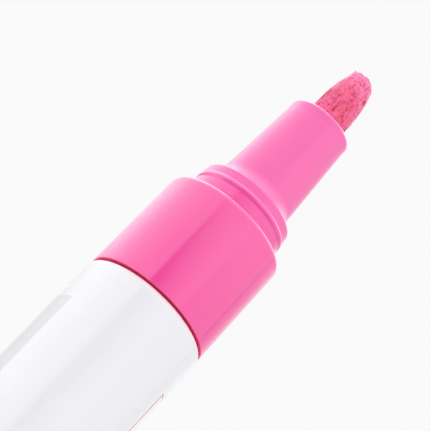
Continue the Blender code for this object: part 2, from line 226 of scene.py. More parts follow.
class Finish:
    """A material with its shader, and wires for the place on the marker."""

    def __init__(self, name, **constants):
        self.material = bpy.data.materials.new(name)
        self.material.use_nodes = True
        self.tree = self.material.node_tree
        self.shader = self.tree.nodes["Principled BSDF"]
        for key, value in constants.items():
            self.shader.inputs[key.replace("_", " ")].default_value = value
        self.place = Wire(add_node(self.tree, "ShaderNodeTexCoord").outputs["Object"])
        parts = add_node(self.tree, "ShaderNodeSeparateXYZ", None, {"Vector": self.place})
        self.x, self.y, self.height = (Wire(output) for output in parts.outputs)

    def stretched(self, across, along):
        """The place on the marker, scaled across the axis and along it."""
        values = {0: self.place, 1: (across, across, along)}
        node = add_node(self.tree, "ShaderNodeVectorMath", {"operation": "MULTIPLY"}, values)
        return Wire(node.outputs[0])

    def noise(self, across, along, detail=2.0):
        """Smooth noise from 0 to 1 with this many patches per metre across and along the marker."""
        values = {"Vector": self.stretched(across, along), "Scale": 1.0, "Detail": detail}
        return Wire(add_node(self.tree, "ShaderNodeTexNoise", None, values).outputs[0])

    def angle(self):
        """Degrees round the marker, from 0 at the camera's side to 180 behind, positive on the right."""
        return self.x.math("ARCTAN2", self.y * -1.0) * math.degrees(1.0)

    def paint(self, colour, roughness):
        """Leads a colour and a roughness to the shader."""
        feed(self.shader.inputs["Base Color"], colour)
        feed(self.shader.inputs["Roughness"], roughness)

    def bump(self, height, depth):
        """Relief of this depth in metres where height goes from 0 to 1."""
        values = {"Height": height, "Distance": depth, "Strength": 1.0}
        node = add_node(self.tree, "ShaderNodeBump", None, values)
        feed(self.shader.inputs["Normal"], Wire(node.outputs[0]))


print("finishes start from one shader and the place on the marker")

# %% [markdown]
# ### Pink moulding
# The front section and the tail plug are injection-moulded in tinted plastic with a polished mould. Up
# close such plastic has faint clouds of pigment, stretched in the direction in which it flowed, a very
# slight orange-peel relief, and hair-fine rub marks round the rings where a cap slides on and off. The
# nozzle is a shade cooler. The rear rim of the collar is painted a lighter red: painted light, standing
# in for light that comes through the thin plastic there. Three finishes would need three pieces, so
# masks by height mix them in one shader.

# %% Pink moulding
PINK = (0.830, 0.049, 0.306)
DEEP_PINK = (0.815, 0.045, 0.294)
NOZZLE_PINK = (0.795, 0.052, 0.326)
RIM_PAINTED_GLOW = (0.945, 0.115, 0.305)
RIM = (105.40 * MM, 105.65 * MM)
RIM_EDGE = 0.05 * MM
RINGS = (120.3 * MM, 124.4 * MM)
RINGS_EDGE = 0.4 * MM
NOZZLE_TURNS_COOL = (119.6 * MM, 120.4 * MM)


def pink_moulding():
    """Clouded pink gloss with painted light on the rim, a cooler nozzle and rub marks round the cap's
    seat.
    """
    finish = Finish("pink_moulding", IOR=1.5)
    clouds = finish.noise(220.0, 60.0)
    grain = finish.noise(5200.0, 5200.0)
    rubs = finish.noise(300.0, 26000.0) * finish.height.band(*RINGS, RINGS_EDGE)
    clouded = clouds.step(0.3, 0.7).mix(plain(DEEP_PINK), plain(PINK))
    # The rim's lighter red is painted light, standing in for light that comes through the thin plastic.
    collar = finish.height.band(*RIM, RIM_EDGE).mix(clouded, plain(RIM_PAINTED_GLOW))
    colour = finish.height.step(*NOZZLE_TURNS_COOL).mix(collar, plain(NOZZLE_PINK))
    finish.paint(colour, 0.065 + clouds * 0.03 + grain * 0.03 + rubs * 0.1)
    finish.bump(grain * 0.6 + finish.noise(900.0, 500.0), 0.0012 * MM)
    return finish.material


pink = pink_moulding()
print("pink moulding:", len(pink.node_tree.nodes), "nodes")

# %% [markdown]
# ### White barrel
# The barrel is white plastic, a little bluish, with a softer gloss than the front section. Ink is
# printed straight on it, round its back: a bare pale panel on the left and a thin red frame on the
# right. Ink has no thickness that shows, so the print is a mask in the colour, made from the angle and
# the height. Towards the joint, the last 0.8 mm of the white is painted a darker pink: painted shade
# and painted pink bounce light from the collar.

# %% White barrel
BARREL_WHITE = (0.780, 0.772, 0.810)
COOL_WHITE = (0.770, 0.763, 0.806)
PANEL_GREY = (0.630, 0.630, 0.645)
FRAME_RED = (0.500, 0.100, 0.100)
JOINT_PAINTED_SHADE_PINK = (0.830, 0.330, 0.425)
JOINT_START = 104.6 * MM
JOINT_END = 105.4 * MM
PRINT_FRONT = 98.8 * MM
PRINT_REAR = 24.0 * MM
PANEL_FRONT = PRINT_FRONT + 0.35 * MM
PANEL_ANGLES = (-150.0, -57.2)
FRAME_ANGLES = (69.4, 148.5)
FRAME_LINE = 0.28 * MM
FRAME_LINE_ANGLE = 2.1


def white_barrel():
    """Soft white gloss with a pale printed panel, a red frame and painted pink shade at the joint."""
    finish = Finish("white_barrel", IOR=1.4)
    clouds = finish.noise(160.0, 40.0)
    grain = finish.noise(4200.0, 4200.0)
    drawn = finish.noise(2600.0, 30.0)
    angle = finish.angle()
    clean = clouds.step(0.3, 0.7).mix(plain(COOL_WHITE), plain(BARREL_WHITE))
    # Towards the joint the white is mixed to a darker pink: painted shade, with painted pink bounce
    # light.
    joint = finish.height.step(JOINT_START, JOINT_END)
    body = joint.mix(clean, plain(JOINT_PAINTED_SHADE_PINK))
    panel = angle.band(*PANEL_ANGLES, 0.35) * finish.height.band(PRINT_REAR, PANEL_FRONT, 0.04 * MM)
    first, last = FRAME_ANGLES
    outer = angle.band(first, last, 0.25) * finish.height.band(PRINT_REAR, PRINT_FRONT, 0.03 * MM)
    inner = angle.band(first + FRAME_LINE_ANGLE, last - FRAME_LINE_ANGLE, 0.25) * finish.height.band(
        PRINT_REAR + FRAME_LINE, PRINT_FRONT - FRAME_LINE, 0.03 * MM
    )
    ink = finish.noise(1500.0, 1500.0) * 0.25 + 0.75
    printed = (panel * ink).mix(body, plain(PANEL_GREY))
    colour = ((outer - inner) * ink).mix(printed, plain(FRAME_RED))
    finish.paint(colour, 0.12 + clouds * 0.04 + grain * 0.03 + panel * 0.1)
    finish.bump(drawn * 0.7 + grain * 0.3, 0.0015 * MM)
    return finish.material


white = white_barrel()
print("white barrel:", len(white.node_tree.nodes), "nodes")

# %% [markdown]
# ### Paint-soaked fibre and felt
# The nib is a rod of pressed fibres, soaked with pink paint. Single fibres are lighter or darker at
# random; the darkest strands also stand in for painted shade in the gaps between fibres, and the pits
# in the core are painted almost dark red as shade. Each fibre gets its own shade from an attribute that
# the scattering stores, and noise along the fibre breaks that up. Loose ends catch light at grazing
# angles, which is what sheen does; it is tinted pink, and weaker on single strands, where it would look
# like dust. The felt ring behind the nozzle is the same idea in white, with pink stains of caught paint.

# %% Fibre and felt
FIBRE_LIGHT = (0.860, 0.190, 0.410)
FIBRE_MID = (0.815, 0.092, 0.235)
FIBRE_DEEP = (0.600, 0.036, 0.118)
FIBRE_WARM = (0.870, 0.097, 0.172)
FIBRE_BLOOM = (0.930, 0.580, 0.700)
FELT_WHITE = (0.80, 0.76, 0.74)
FELT_CREAM = (0.80, 0.73, 0.68)
FELT_STAIN = (0.86, 0.30, 0.45)
TIP_FADES = (142.5 * MM, 146.9 * MM)


def fibre(name, sheen, patch, deep, middle, light, warm, bloom):
    """Fibre whose shade comes from the tint attribute and from noise in patches of that size."""
    constants = {"Sheen_Weight": sheen, "Sheen_Roughness": 0.45, "Sheen_Tint": plain(bloom), "IOR": 1.4}
    finish = Finish(name, **constants)
    own = Wire(add_node(finish.tree, "ShaderNodeAttribute", {"attribute_name": "tint_and_painted_shade"}).outputs["Fac"])
    patches = finish.noise(1.0 / patch, 0.6 / patch, 3.0)
    tip = finish.height.step(*TIP_FADES)
    marks = finish.noise(2.5 / patch, 1.5 / patch).step(0.50, 0.66)
    # The attribute brings random tone and painted shade: dark in the core's pits and on the darkest
    # strands.
    shade = own * 0.55 + patches * 1.1 + tip * 0.35 - marks * 0.6 - 0.14
    low = shade.step(0.0, 0.45).mix(plain(deep), plain(middle))
    soaked = shade.step(0.45, 1.0).mix(low, plain(light))
    warmed = finish.noise(0.8 / patch, 0.5 / patch).step(0.48, 0.66) * (1 - tip) * 0.7
    finish.paint(warmed.mix(soaked, plain(warm)), 0.62 + patches * 0.3)
    finish.bump(finish.noise(9000.0, 4000.0), 0.004 * MM)
    return finish.material


NIB_SHADES = (FIBRE_DEEP, FIBRE_MID, FIBRE_LIGHT, FIBRE_WARM, FIBRE_BLOOM)
FELT_SHADES = (FELT_STAIN, FELT_WHITE, FELT_WHITE, FELT_CREAM, FELT_WHITE)
NIB_PATCH = 0.9 * MM
FELT_PATCH = 2.0 * MM
nib_fibre = fibre("nib_fibre", 1.0, NIB_PATCH, *NIB_SHADES)
nib_strand = fibre("nib_strand", 0.5, NIB_PATCH, *NIB_SHADES)
felt_fibre = fibre("felt_fibre", 0.5, FELT_PATCH, *FELT_SHADES)
print("fibre finishes:", nib_fibre.name, nib_strand.name, felt_fibre.name)

# %% [markdown]
# ### Inner finishes
# The valve sits out of sight, but the pieces are still finished as they would be in the hand: plain
# uncoloured plastic with a satin mould surface, soft grey rubber with a dusty bloom, and bright steel
# with drawing lines along the wire or lapping clouds on the balls.

# %% Inner finishes
NATURAL = (0.79, 0.78, 0.73)
NATURAL_WARM = (0.74, 0.72, 0.65)
RUBBER_GREY = (0.105, 0.105, 0.112)
RUBBER_BLOOM = (0.20, 0.20, 0.205)
STEEL = (0.62, 0.62, 0.64)
STEEL_DARK = (0.50, 0.50, 0.53)


def cloudy(name, first, second, patches, roughness, spread, relief, metallic=0.0):
    """Two close colours in clouds, with roughness and fine relief that follow other noise."""
    finish = Finish(name, Metallic=metallic)
    clouds = finish.noise(patches, patches)
    grain = finish.noise(7000.0, 3500.0)
    finish.paint(clouds.step(0.3, 0.7).mix(plain(first), plain(second)), roughness + grain * spread)
    finish.bump(grain, relief)
    return finish.material


natural = cloudy(
    "natural_plastic", NATURAL_WARM, NATURAL,
    patches=400.0, roughness=0.36, spread=0.14, relief=0.004 * MM,
)
rubber = cloudy(
    "seal_rubber", RUBBER_GREY, RUBBER_BLOOM,
    patches=900.0, roughness=0.55, spread=0.25, relief=0.006 * MM,
)
steel = cloudy(
    "bright_steel", STEEL_DARK, STEEL,
    patches=1500.0, roughness=0.16, spread=0.12, relief=0.001 * MM, metallic=1.0,
)
print("inner finishes:", natural.name, rubber.name, steel.name)

# %% [markdown]
# ## Turned shapes
# Nearly every piece of a marker is round, so one lathe serves them all. A piece is a table of corners:
# radius, height and rounding, in millimetres. The lathe rounds the corners, spins the outline, and adds
# a narrow row of faces beside each rounding. Without that row, smooth shading would bend the light on
# the long straight faces next to it.

# %% Rounded outlines
ARC_STEPS = 6
ROUND_SHARE = 0.45
SUPPORT = 0.06 * MM


def rounded(before, corner, after, radius):
    """Points of an arc that replaces one corner."""
    back = before - corner
    ahead = after - corner
    half = back.angle(ahead) / 2
    reach = min(radius / math.tan(half), ROUND_SHARE * min(back.length, ahead.length))
    radius = reach * math.tan(half)
    bisector = (back.normalized() + ahead.normalized()).normalized()
    centre = corner + bisector * math.hypot(reach, radius)
    first = corner + back.normalized() * reach - centre
    last = corner + ahead.normalized() * reach - centre
    return [centre + first.slerp(last, step / ARC_STEPS) * radius for step in range(ARC_STEPS + 1)]


def outline(rows, closed):
    """Outline points, in metres, from rows of radius, height and an optional rounding."""
    corners = [Vector(row[:2]) * MM for row in rows]
    points = []
    for index, row in enumerate(rows):
        if len(row) == 2:
            points.append(corners[index])
        else:
            after = corners[(index + 1) % len(rows)]
            points += rounded(corners[index - 1], corners[index], after, row[2] * MM)
    supported = []
    for index, point in enumerate(points):
        supported.append(point)
        if index + 1 == len(points) and not closed:
            break
        after = points[(index + 1) % len(points)]
        if (after - point).length > 4 * SUPPORT:
            along = (after - point).normalized() * SUPPORT
            supported += [point + along, after - along]
    return supported


print("a rounded corner has", ARC_STEPS + 1, "points")

# %% The lathe
COLUMNS = 128
SAME_PLACE = 1e-7
SHARP_EDGE = math.radians(40.0)


def make_piece(name, shape, finish):
    """Object at the origin from a bmesh, with outward faces and smooth shading."""
    bmesh.ops.remove_doubles(shape, verts=shape.verts, dist=SAME_PLACE)
    bmesh.ops.recalc_face_normals(shape, faces=shape.faces)
    mesh = bpy.data.meshes.new(name)
    shape.to_mesh(mesh)
    shape.free()
    mesh.shade_smooth()
    mesh.set_sharp_from_angle(angle=SHARP_EDGE)
    mesh.materials.append(finish)
    piece = bpy.data.objects.new(name, mesh)
    bpy.context.scene.collection.objects.link(piece)
    return piece


def lathe(name, rows, finish, closed=True, columns=COLUMNS):
    """Piece turned round the axis. An outline that is open starts and ends on the axis."""
    shape = bmesh.new()
    rings = []
    for radius, height in outline(rows, closed):
        count = columns if radius > SAME_PLACE else 1
        ring = []
        for index in range(count):
            turn = math.tau * index / columns
            ring.append(shape.verts.new((radius * math.cos(turn), radius * math.sin(turn), height)))
        rings.append(ring)
    pairs = list(zip(rings, rings[1:]))
    if closed:
        pairs.append((rings[-1], rings[0]))
    for low, high in pairs:
        for index in range(columns):
            after = (index + 1) % columns
            ends = [low[index % len(low)], low[after % len(low)]]
            ends += [high[after % len(high)], high[index % len(high)]]
            shape.faces.new(list(dict.fromkeys(ends)))
    return make_piece(name, shape, finish)


print("lathe ready:", COLUMNS, "columns")

# %% Dressing a node


def compare_boxes(piece, node):
    """Prints how far a piece's box is from the box of the node that it stands for."""
    low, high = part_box(node)
    corners = [Vector(corner) for corner in piece.bound_box]
    off = max(abs(min(c[axis] for c in corners) - low[axis]) for axis in range(3))
    off = max(off, max(abs(max(c[axis] for c in corners) - high[axis]) for axis in range(3)))
    print(f"{piece.name}: {len(piece.data.polygons)} faces, box within {off / MM:.2f} mm of {node}")


def dress(piece, node, body):
    """Puts a piece in place of a CAD node and lets it ride on a body."""
    compare_boxes(piece, node)
    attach(piece, body)
    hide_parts(node)


print("a dressed piece takes the place of its CAD node")

# %% [markdown]
# ### Barrel
# The barrel is a plain tube with a thinner neck at the front, which goes inside the collar and has a
# snap bead on it. At the rear, a groove inside takes the bead of the tail plug.

# %% Barrel
BARREL = [
    # neck with its snap bead
    (6.56, 116.35, 0.5), (6.56, 109.10), (6.76, 108.60), (6.76, 108.00), (6.56, 107.50), (6.56, 105.42),
    # outside
    (8.50, 105.42, 0.7), (8.50, 5.65, 0.6),
    # groove for the plug's bead, then the paint room up to the neck's bore
    (7.30, 5.65), (7.30, 7.85), (7.50, 8.35), (7.50, 8.95), (7.30, 9.45),
    (7.30, 102.16), (5.36, 104.10), (5.36, 116.35),
]
barrel = lathe("barrel_tube", BARREL, white)
dress(barrel, "barrel", "case")

# %% [markdown]
# ### Tail plug
# The plug closes the rear of the barrel. Its flat end is dished, so that the marker stands on a ring,
# and in the middle of the dish is the small round mark that the moulding gate leaves.

# %% Tail plug
TAIL = [
    # inside of the cup
    (0.0, 2.2), (5.98, 2.2, 0.6), (5.98, 13.65),
    # skirt with its bead
    (7.18, 13.65, 0.6), (7.18, 9.45), (7.38, 8.95), (7.38, 8.35), (7.18, 7.85), (7.18, 5.5),
    # visible end, its dish and the gate mark
    (8.25, 5.5, 0.6), (7.95, 0.0, 1.0), (4.6, 0.0, 0.15), (4.1, 0.5, 0.15),
    (0.8, 0.5, 0.1), (0.7, 0.28, 0.1), (0.0, 0.28),
]
tail = lathe("tail_moulding", TAIL, pink, closed=False)
dress(tail, "tail_plug", "case")

# %% [markdown]
# ### Front section
# Collar, cap land, snap rib and nozzle are one moulding. The collar and the nozzle taper a little, so
# that they come out of the mould. A cap seals on the land and snaps over the rib in front of it. The
# two sides of the rib, the rounded edges and the flare at the nozzle's foot bend the light into bands
# and thin lines, so they are real geometry here and not relief in a shader.

# %% Front section
FRONT = [
    # nozzle and the flare at its foot
    (4.30, 138.40, 0.55), (4.30, 137.00), (4.97, 125.60, 4.0), (5.63, 124.25),
    # lead band and snap rib
    (6.30, 124.25, 0.3), (6.38, 122.92, 0.45), (6.52, 122.68, 0.45), (6.52, 122.40, 0.45),
    # cap land, shoulder and collar
    (6.42, 122.05, 0.45), (6.43, 120.15), (8.18, 120.15, 0.7), (8.38, 105.60, 0.06),
    # inside of the collar, with the groove for the barrel's bead
    (6.68, 105.60, 0.12), (6.68, 107.50), (6.88, 108.00), (6.88, 108.60), (6.68, 109.10), (6.68, 118.65),
    # room for the felt ring, and the bore
    (4.88, 118.65), (4.88, 123.60), (2.70, 123.60), (2.70, 138.40, 0.2),
]
front = lathe("front_moulding", FRONT, pink)
print("front section turned:", len(front.data.polygons), "faces")

# %% [markdown]
# ### Cuts that repeat round the axis
# Six feed channels run along the nozzle's bore, four flutes along the valve stem, and four windows let
# paint into the valve housing. Each is one cutter, repeated round the axis and taken away. A Geometry
# Nodes tree does this for all three, with the count, the place and the size of the cutter as inputs.

# %% Geometry trees


def geometry_tree(name, inputs):
    """Geometry tree with a mesh in and out: the tree, wires of its named inputs, and its output node."""
    tree = bpy.data.node_groups.new(name, "GeometryNodeTree")
    tree.interface.new_socket("Geometry", in_out="INPUT", socket_type="NodeSocketGeometry")
    for label, kind in inputs.items():
        tree.interface.new_socket(label, in_out="INPUT", socket_type="NodeSocket" + kind)
    tree.interface.new_socket("Geometry", in_out="OUTPUT", socket_type="NodeSocketGeometry")
    entry = add_node(tree, "NodeGroupInput")
    wires = {output.name: Wire(output) for output in entry.outputs if output.name}
    return tree, wires, add_node(tree, "NodeGroupOutput")


def first_output(tree, kind, settings=None, **values):
    """Wire of a new node's first output. Socket names are given with _ for a space."""
    named = {key.replace("_", " ").strip(): value for key, value in values.items()}
    return Wire(add_node(tree, kind, settings, named).outputs[0])


def end_tree(tree, geometry, finish, output):
    """Realizes instances, sets the material and leads the mesh out."""
    real = first_output(tree, "GeometryNodeRealizeInstances", Geometry=geometry)
    done = first_output(tree, "GeometryNodeSetMaterial", Geometry=real, Material=finish)
    feed(output.inputs["Geometry"], done)


def run_tree(piece, tree, values):
    """Runs a tree on a piece with these inputs and keeps the result as a plain mesh."""
    modifier = piece.modifiers.new(tree.name, "NODES")
    modifier.node_group = tree
    for item in tree.interface.items_tree:
        if item.in_out == "INPUT" and item.name in values:
            modifier[item.identifier] = values[item.name]
    graph = bpy.context.evaluated_depsgraph_get()
    mesh = bpy.data.meshes.new_from_object(piece.evaluated_get(graph))
    piece.modifiers.clear()
    mesh.name = piece.name
    piece.data = mesh
    return piece


print("geometry trees: named inputs in, a plain mesh out")

# %% Ring of cuts


def ring_cut_tree():
    """Cutters repeated round the axis and taken away from the mesh."""
    inputs = {
        "Count": "Int", "Ring Radius": "Float", "Middle": "Float", "Square": "Bool",
        "Cutter": "Vector", "Finish": "Material",
    }
    tree, wires, output = geometry_tree("ring_cuts", inputs)
    ring = first_output(
        tree, "GeometryNodeMeshCircle", Vertices=wires["Count"], Radius=wires["Ring Radius"]
    )
    lift = first_output(tree, "ShaderNodeCombineXYZ", Z=wires["Middle"])
    places = first_output(tree, "GeometryNodeSetPosition", Geometry=ring, Offset=lift)
    rod = first_output(tree, "GeometryNodeMeshCylinder", Vertices=16, Radius=0.5, Depth=1.0)
    block = first_output(tree, "GeometryNodeMeshCube", Size=(1.0, 1.0, 1.0))
    cutter = first_output(
        tree, "GeometryNodeSwitch", {"input_type": "GEOMETRY"},
        Switch=wires["Square"], False_=rod, True_=block,
    )
    around = first_output(tree, "GeometryNodeInputIndex") / wires["Count"] * math.tau
    turn = first_output(tree, "FunctionNodeAxisAngleToRotation", Axis=(0.0, 0.0, 1.0), Angle=around)
    cutters = first_output(
        tree, "GeometryNodeInstanceOnPoints",
        Points=places, Instance=cutter, Rotation=turn, Scale=wires["Cutter"],
    )
    cut = add_node(tree, "GeometryNodeMeshBoolean", {"operation": "DIFFERENCE", "solver": "EXACT"})
    feed(cut.inputs["Mesh 1"], wires["Geometry"])
    feed(cut.inputs["Mesh 2"], cutters)
    end_tree(tree, Wire(cut.outputs[0]), wires["Finish"], output)
    return tree


ring_cuts = ring_cut_tree()


def cut_round(piece, count, radius, low, high, size, square=False):
    """Cuts a ring of equal channels between two heights. Sizes are in millimetres."""
    values = {
        "Count": count, "Ring Radius": radius * MM, "Middle": (low + high) / 2 * MM, "Square": square,
        "Cutter": (size[0] * MM, size[1] * MM, (high - low) * MM), "Finish": piece.data.materials[0],
    }
    run_tree(piece, ring_cuts, values)
    piece.data.shade_smooth()
    piece.data.set_sharp_from_angle(angle=SHARP_EDGE)
    print(f"{piece.name}: {count} cuts, {len(piece.data.polygons)} faces")


cut_round(front, count=6, radius=2.7, low=123.1, high=135.4, size=(1.0, 1.0))
dress(front, "front_section", "case")

# %% [markdown]
# ### Nib
# The nib is a pressed fibre rod whose front narrows to a blunt end. It has been written with: it sits a
# little to one side in its bore, one corner of its end is still sharp and the other is rubbed round, and
# its surface is lumpy. The lathe turns the new shape, then every point is moved by those rules. A pair
# of heights says where a rule starts and where it holds in full. All sizes here are in millimetres.

# %% Nib outline
NIB_RADIUS = 2.5
NIB_REAR = 117.5
NIB_ARC_START = 140.8
NIB_END = 146.88
NIB_ARC_RADIUS = 18.5
NIB_BLUNT = 30.0
NIB_ROWS = 70
ROW_CROWDING = 0.4
ROD_ROWS = 25
ROD_ROW = 0.12


def nib_outline():
    """Rows from the middle of the blunt end down to the rear of the nib."""
    run = NIB_END - NIB_ARC_START
    rows = []
    for step in range(NIB_ROWS + 1):
        share = math.cos(0.5 * math.pi * step / NIB_ROWS) ** ROW_CROWDING
        rise = share * run
        arc = NIB_RADIUS - NIB_ARC_RADIUS + math.sqrt(NIB_ARC_RADIUS**2 - rise**2)
        rows.append((arc * (1.0 - share**NIB_BLUNT) ** (1.0 / NIB_BLUNT), NIB_ARC_START + rise))
    rows += [(NIB_RADIUS, NIB_ARC_START - ROD_ROW * step) for step in range(1, ROD_ROWS + 1)]
    return rows + [(NIB_RADIUS, NIB_REAR, 0.4), (0.0, NIB_REAR)]


nib = lathe("nib_core", nib_outline(), nib_fibre, closed=False, columns=160)
print("new nib:", len(nib.data.vertices), "points")

# %% Worn nib
FREE_OF_BORE = (137.4, 139.5)
RUBBED_END = (145.9, 146.7)
SHARP_CORNER = (146.2, 146.85)
PITS_STOP = (145.0, 146.2)
LUMP = 0.03
GRAIN = 0.02
PIT = 0.16
RUBBED_OFF = 0.25
WORN_DOWN = 0.2
LEAN = 0.115


def smooth(value, start, end):
    """0 before start, 1 after end, and a smooth rise between them."""
    share = min(max((value - start) / (end - start), 0.0), 1.0)
    return share * share * (3.0 - 2.0 * share)


def wear(place):
    """Where a point of the new nib is after some use, and its tint, darker in the pits as painted shade.
    """
    x, y, height = place / MM
    radius = max(math.hypot(x, y), 1e-6)
    left = max(-x / radius, 0.0)
    right = max(x / radius, 0.0)
    front = max(-y / radius, 0.0)
    free = smooth(height, *FREE_OF_BORE)
    tip = smooth(height, *RUBBED_END)
    lumps = noise.noise(Vector((x * 1.3, y * 1.3, height * 0.8)))
    grain = noise.noise(Vector((x * 3.6, y * 3.6, height * 1.5)))
    pit = smooth(noise.noise(Vector((x * 2.6 + 7.0, y * 2.6, height * 1.7))), 0.34, 0.58)
    pit *= 1.0 - smooth(height, *PITS_STOP)
    grow = free * (LUMP * lumps + GRAIN * grain - PIT * pit) + tip * (0.05 * left**4 - RUBBED_OFF * right)
    grow += 0.06 * left**8 * smooth(height, *SHARP_CORNER)
    share = 1.0 + grow / max(radius, 0.6)
    lean = LEAN * free
    drop = tip * (0.03 * right + WORN_DOWN * front + 0.04 * abs(lumps))
    # The second value is the tint: grain varies it at random, and the pits are painted darker as shade.
    return Vector((x * share + lean, y * share, height - drop)) * MM, 0.5 + 0.4 * grain - 1.6 * pit


tint_and_painted_shade = nib.data.attributes.new("tint_and_painted_shade", "FLOAT", "POINT")
for point in nib.data.vertices:
    point.co, tint_and_painted_shade.data[point.index].value = wear(point.co)
dress(nib, "nib", "nib_body")

# %% [markdown]
# ### Fibres
# What one sees of the nib is a tangle of short fibres, with dark gaps between them. Geometry Nodes
# scatters them: points on the surface, one bent fibre on each, turned to lie along the rod and then
# swung by a random angle. A second run of the same tree puts fuzz on the felt ring. Each fibre has only
# a dozen faces, because there are many of them. The part of the nib that slides into the nozzle when it
# is pressed has its fibres kept within the bore.

# %% One fibre


def random_value(tree, low, high, seed):
    """Wire of a random number between low and high for each element."""
    node = add_node(tree, "FunctionNodeRandomValue", {"data_type": "FLOAT"})
    feed(find(node.inputs, "Min_001"), low)
    feed(find(node.inputs, "Max_001"), high)
    feed(node.inputs["Seed"], seed)
    return Wire(find(node.outputs, "Value_001"))


def bent_fibre(tree):
    """One fibre along X, a unit long and thick, with a bend and thin ends."""
    line = first_output(
        tree, "GeometryNodeCurveQuadraticBezier",
        Resolution=3, Start=(-0.5, 0.0, -1.2), Middle=(0.05, 0.7, 0.9), End=(0.5, -0.4, -1.2),
    )
    share = first_output(tree, "GeometryNodeSplineParameter")
    thick = share * (1 - share) * 2.6 + 0.35
    round_section = first_output(tree, "GeometryNodeCurvePrimitiveCircle", Resolution=4, Radius=0.5)
    tube = first_output(
        tree, "GeometryNodeCurveToMesh",
        Curve=line, Profile_Curve=round_section, Scale=thick, Fill_Caps=True,
    )
    return first_output(tree, "GeometryNodeSetShadeSmooth", Geometry=tube)


print("a fibre is a thin bent tube")

# %% Scattered fibres


def fibre_tree():
    """Fibres scattered over a mesh above a height, lying along the axis with a random swing."""
    inputs = {
        "Density": "Float", "Seed": "Int", "From Height": "Float", "Length": "Float",
        "Thickness": "Float", "Swing": "Float", "Finish": "Material",
    }
    tree, wires, output = geometry_tree("scattered_fibres", inputs)
    spot = first_output(tree, "GeometryNodeInputPosition")
    height = Wire(add_node(tree, "ShaderNodeSeparateXYZ", None, {"Vector": spot}).outputs["Z"])
    shown = height.math("GREATER_THAN", wires["From Height"])
    values = {
        "Mesh": wires["Geometry"], "Selection": shown,
        "Density": wires["Density"], "Seed": wires["Seed"],
    }
    spread = add_node(tree, "GeometryNodeDistributePointsOnFaces", None, values)
    flat = first_output(
        tree, "FunctionNodeAlignRotationToVector", {"axis": "Z"}, Vector=Wire(spread.outputs["Normal"])
    )
    along = first_output(
        tree, "FunctionNodeAlignRotationToVector", {"axis": "X", "pivot_axis": "Z"},
        Rotation=flat, Vector=(0.0, 0.0, 1.0),
    )
    swing = random_value(tree, wires["Swing"] * -1.0, wires["Swing"], wires["Seed"] + 1.0)
    by = first_output(tree, "FunctionNodeAxisAngleToRotation", Axis=(0.0, 0.0, 1.0), Angle=swing)
    swung = first_output(
        tree, "FunctionNodeRotateRotation", {"rotation_space": "LOCAL"}, Rotation=along, Rotate_By=by
    )
    size = first_output(
        tree, "ShaderNodeCombineXYZ",
        X=wires["Length"], Y=wires["Thickness"], Z=wires["Thickness"] * 0.15,
    )
    scale = add_node(tree, "ShaderNodeVectorMath", {"operation": "SCALE"}, {"Vector": size})
    feed(scale.inputs["Scale"], random_value(tree, 0.6, 1.35, wires["Seed"] + 2.0))
    fibres = first_output(
        tree, "GeometryNodeInstanceOnPoints",
        Points=Wire(spread.outputs["Points"]), Instance=bent_fibre(tree), Rotation=swung,
        Scale=Wire(scale.outputs[0]),
    )
    # Random shade per strand: tone that differs at random, and the darkest strands are painted shade of
    # gaps.
    shade = random_value(tree, -0.7, 0.9, wires["Seed"] + 3.0)
    settings = {"domain": "INSTANCE", "data_type": "FLOAT"}
    tinted = first_output(
        tree, "GeometryNodeStoreNamedAttribute", settings, Geometry=fibres, Name="tint_and_painted_shade", Value=shade
    )
    end_tree(tree, tinted, wires["Finish"], output)
    return tree


scattered_fibres = fibre_tree()
print("fibre tree:", len(scattered_fibres.nodes), "nodes")

# %% Fibres on the nib
PRESSED_IN = 141.2 * MM
BORE_REACH = 2.675 * MM


def scatter(name, surface, body, slot, **values):
    """Fibres on a surface, as a piece of their own that stays inside the CAD box."""
    piece = bpy.data.objects.new(name, surface.data.copy())
    bpy.context.scene.collection.objects.link(piece)
    run_tree(piece, scattered_fibres, {key.replace("_", " "): value for key, value in values.items()})
    for point in piece.data.vertices:
        point.co.z = min(point.co.z, cad_high.z)
    print(f"{name}: {len(piece.data.polygons)} faces")
    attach(piece, body)
    return piece


nib_fibres = scatter(
    "nib_fibres", nib, "nib_body", "nib_fibre", Density=6.0e6, Seed=11, From_Height=138.0 * MM,
    Length=0.55 * MM, Thickness=0.12 * MM, Swing=math.radians(75.0), Finish=nib_strand,
)
for point in nib_fibres.data.vertices:
    if point.co.z < PRESSED_IN:
        share = min(1.0, BORE_REACH / math.hypot(point.co.x, point.co.y))
        point.co = (point.co.x * share, point.co.y * share, point.co.z)

# %% [markdown]
# ### Felt ring
# Behind the nozzle a felt ring lies round the nib and catches surplus paint. It is turned a little
# smaller than its CAD solid, made uneven, and covered with fuzz that reaches out to the solid's size.

# %% Felt ring
FELT = [(4.68, 123.37, 0.3), (4.68, 118.73, 0.3), (2.78, 118.73, 0.3), (2.78, 123.37, 0.3)]
UNEVEN = 0.00004
felt_ring = lathe("felt_ring", FELT, felt_fibre)
for point in felt_ring.data.vertices:
    point.co *= 1.0 - UNEVEN * abs(noise.noise(point.co / MM * 1.5))
dress(felt_ring, "absorber_ring", "case")
scatter(
    "felt_fuzz", felt_ring, "case", "felt", Density=3.0e6, Seed=29, From_Height=0.0,
    Length=1.1 * MM, Thickness=0.06 * MM, Swing=math.pi, Finish=felt_fibre,
)

# %% [markdown]
# ### Valve
# The housing is a flanged tube with a wall across it, the seat. A rubber ring lies under the seat, and
# the stem's head closes against it. The retainer plugs the tube's end and guides the stem's pin. All are
# turned; the windows and the flutes come from the ring of cuts.

